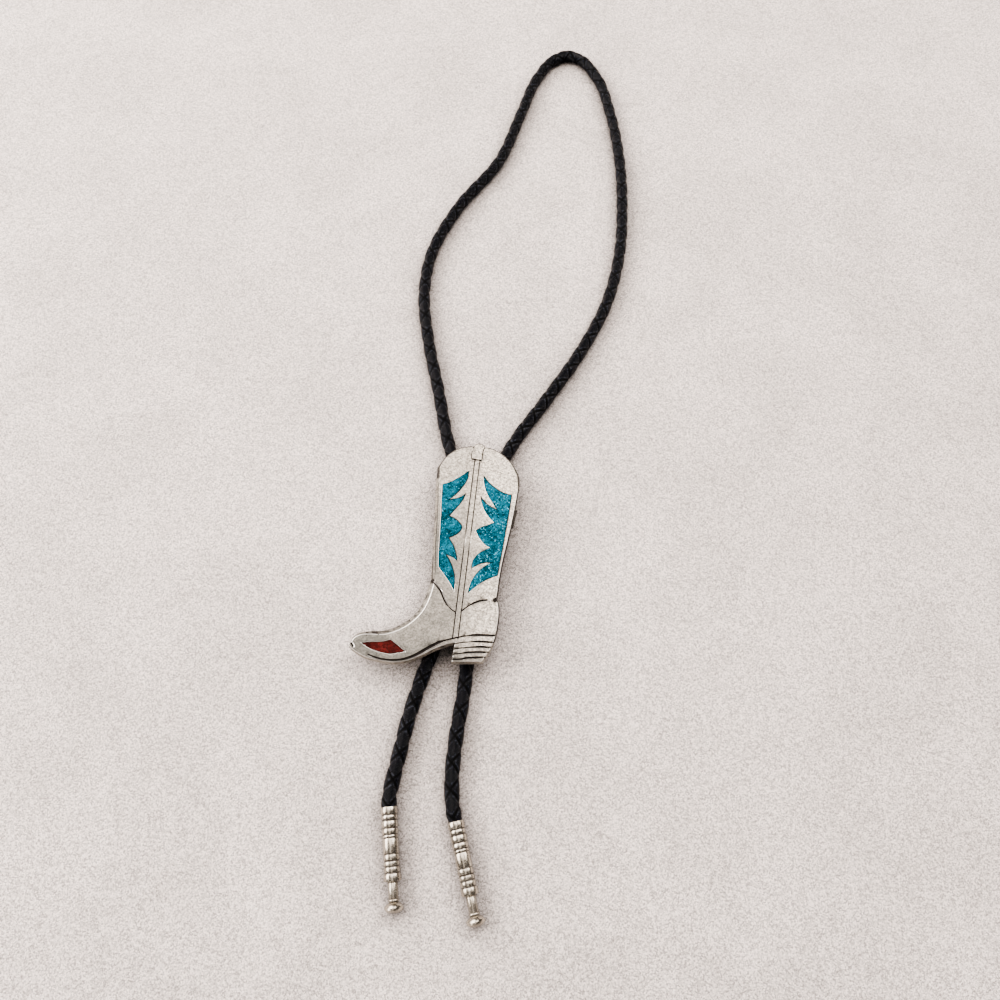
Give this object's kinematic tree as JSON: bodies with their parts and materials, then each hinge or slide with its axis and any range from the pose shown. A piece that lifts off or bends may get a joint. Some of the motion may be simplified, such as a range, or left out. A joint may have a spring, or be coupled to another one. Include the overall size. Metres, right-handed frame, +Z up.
{
  "type": "bolo tie",
  "caption": "Bolo tie: cast western boot slide with crushed stone inlays on a braided leather cord with turned metal tips, lying flat.",
  "frame": {"origin": "on the surface that the tie lies on, under the middle of the slide's bounding box, without the cord and its tips", "axes": "+Y from the tips towards the neck loop, along the surface; +X from the boot's toe to its heel side; +Z up, out of the boot's face"},
  "size_m": [0.1108, 0.39, 0.011],
  "materials": {
    "pewter": "matte cast pewter, dark in its grooves",
    "turquoise": "crushed turquoise in clear resin, ground flat",
    "coral": "crushed red coral in clear resin, ground flat",
    "clip_steel": "plain plated steel",
    "black_leather": "four-strand round braid, blue-black, slight shine",
    "nickel": "polished warm nickel plate"
  },
  "bodies": {
    "root": {"boot_slide": "pewter", "turquoise_inlay_left": "turquoise", "turquoise_inlay_right": "turquoise", "coral_inlay": "coral", "cord_clip": "clip_steel", "cord": "black_leather", "tip_left": "nickel", "tip_right": "nickel"}
  },
  "joints": []
}
